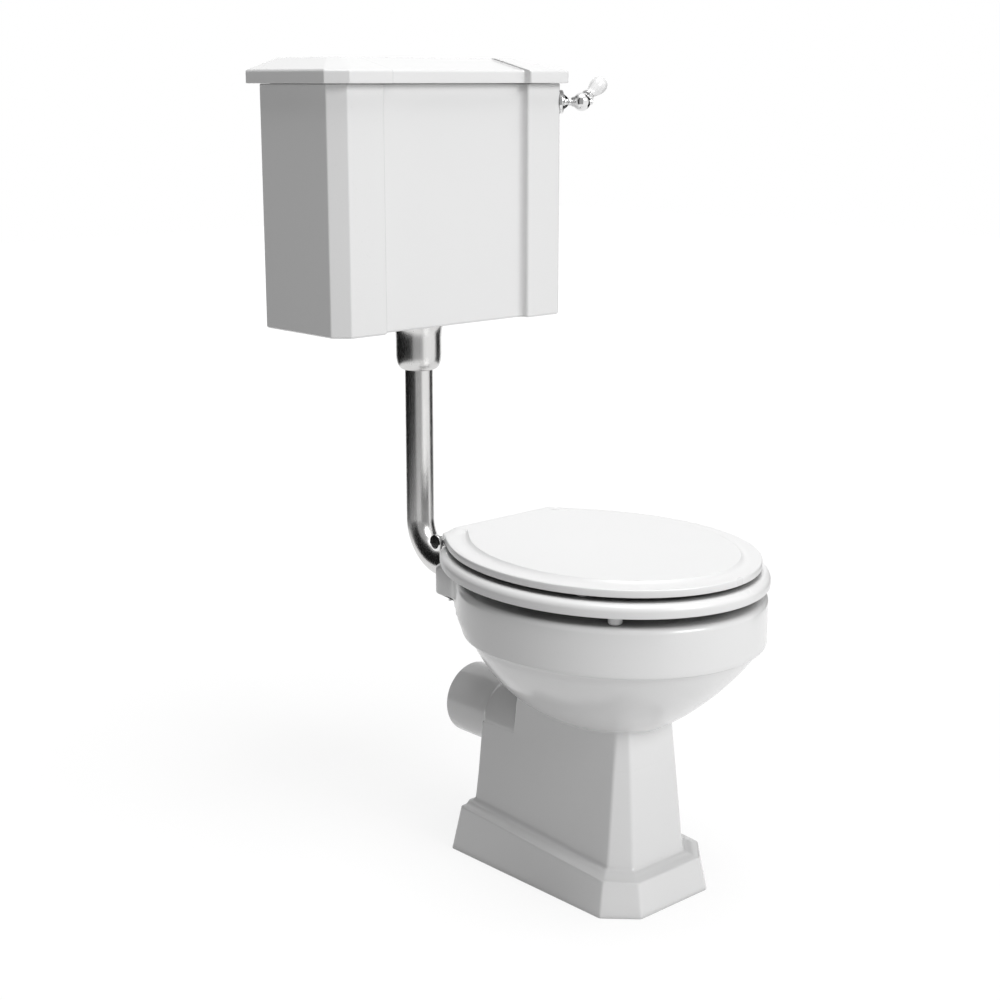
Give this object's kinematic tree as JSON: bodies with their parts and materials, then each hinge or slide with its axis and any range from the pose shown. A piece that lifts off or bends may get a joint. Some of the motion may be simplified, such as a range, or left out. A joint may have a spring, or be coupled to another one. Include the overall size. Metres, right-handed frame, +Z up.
{
  "type": "toilet",
  "caption": "Traditional low-level WC: pedestal pan with seat and lid, bent flush pipe and a lever cistern with a sloped lid.",
  "frame": {"origin": "on the floor, midway between the pan's two floor fixing holes", "axes": "+Z up, +Y towards the wall behind, +X to the right seen from the front"},
  "size_m": [0.4814, 0.692, 1.07],
  "materials": {
    "vitreous_china": "glossy white glaze",
    "handle_porcelain": "glossy white glaze",
    "seat_gloss": "glossy white",
    "buffer_plastic": "satin white",
    "pipe_metal": "satin polished",
    "chrome": "polished",
    "brass": "plain",
    "fitting_plastic": "moulded white",
    "rubber": "matt black"
  },
  "bodies": {
    "base": {"pan": "vitreous_china", "flush_cone": "rubber", "flush_pipe": "pipe_metal", "pipe_cover": "pipe_metal", "pipe_nut": "fitting_plastic", "siphon_backnut": "fitting_plastic", "siphon_washer": "rubber", "siphon_body": "fitting_plastic", "tank_body": "vitreous_china", "lever_flange": "chrome", "lever_washer": "rubber", "lever_nut": "brass", "valve_body": "fitting_plastic", "valve_washer": "rubber", "valve_backnut": "fitting_plastic", "hinge_posts": "chrome", "post_washers": "rubber", "post_nuts": "fitting_plastic"},
    "ring": {"seat_ring": "seat_gloss", "ring_buffers": "buffer_plastic", "ring_knuckles": "chrome", "hinge_bar": "chrome"},
    "cover": {"seat_lid": "seat_gloss", "lid_buffers": "buffer_plastic", "lid_knuckles": "chrome"},
    "lever": {"lever_spindle": "chrome", "lever_collar": "chrome", "lever_handle": "handle_porcelain", "crank_arm": "brass"},
    "lift": {"siphon_plate": "fitting_plastic", "lift_rod": "brass"},
    "float": {"float_arm": "brass", "float_ball": "fitting_plastic"},
    "piston": {"valve_piston": "brass"},
    "tank_cover": {"tank_lid": "vitreous_china"}
  },
  "joints": [
    {"name": "seat_hinge", "type": "hinge", "parent": "base", "child": "ring", "pos_m": [0, 0.053, 0.44], "axis": [-1, 0, 0], "range_deg": [0, 95]},
    {"name": "lid_hinge", "type": "hinge", "parent": "ring", "child": "cover", "pos_m": [0, 0.053, 0.44], "axis": [1, 0, 0], "range_deg": [-98, 0]},
    {"name": "lever_turn", "type": "hinge", "parent": "base", "child": "lever", "pos_m": [0.19725, 0.14145, 1.0107], "axis": [-0.7071, 0.7071, 0], "range_deg": [0, 50]},
    {"name": "siphon_lift", "type": "slide", "parent": "base", "child": "lift", "axis": [0, 0, 1], "range_m": [0, 0.035]},
    {"name": "float_drop", "type": "hinge", "parent": "base", "child": "float", "pos_m": [0.042, 0.253, 0.946], "axis": [0, -1, 0], "range_deg": [0, 25]},
    {"name": "piston_slide", "type": "slide", "parent": "base", "child": "piston", "axis": [-1, 0, 0], "range_m": [0, 0.004]},
    {"name": "tank_lid_lift", "type": "slide", "parent": "base", "child": "tank_cover", "axis": [0, 0, 1], "range_m": [0, 0.15]}
  ],
  "couplings": [
    {"joint": "siphon_lift", "follows": "lever_turn", "m_per_rad": 0.039},
    {"joint": "piston_slide", "follows": "float_drop", "m_per_rad": 0.008}
  ]
}
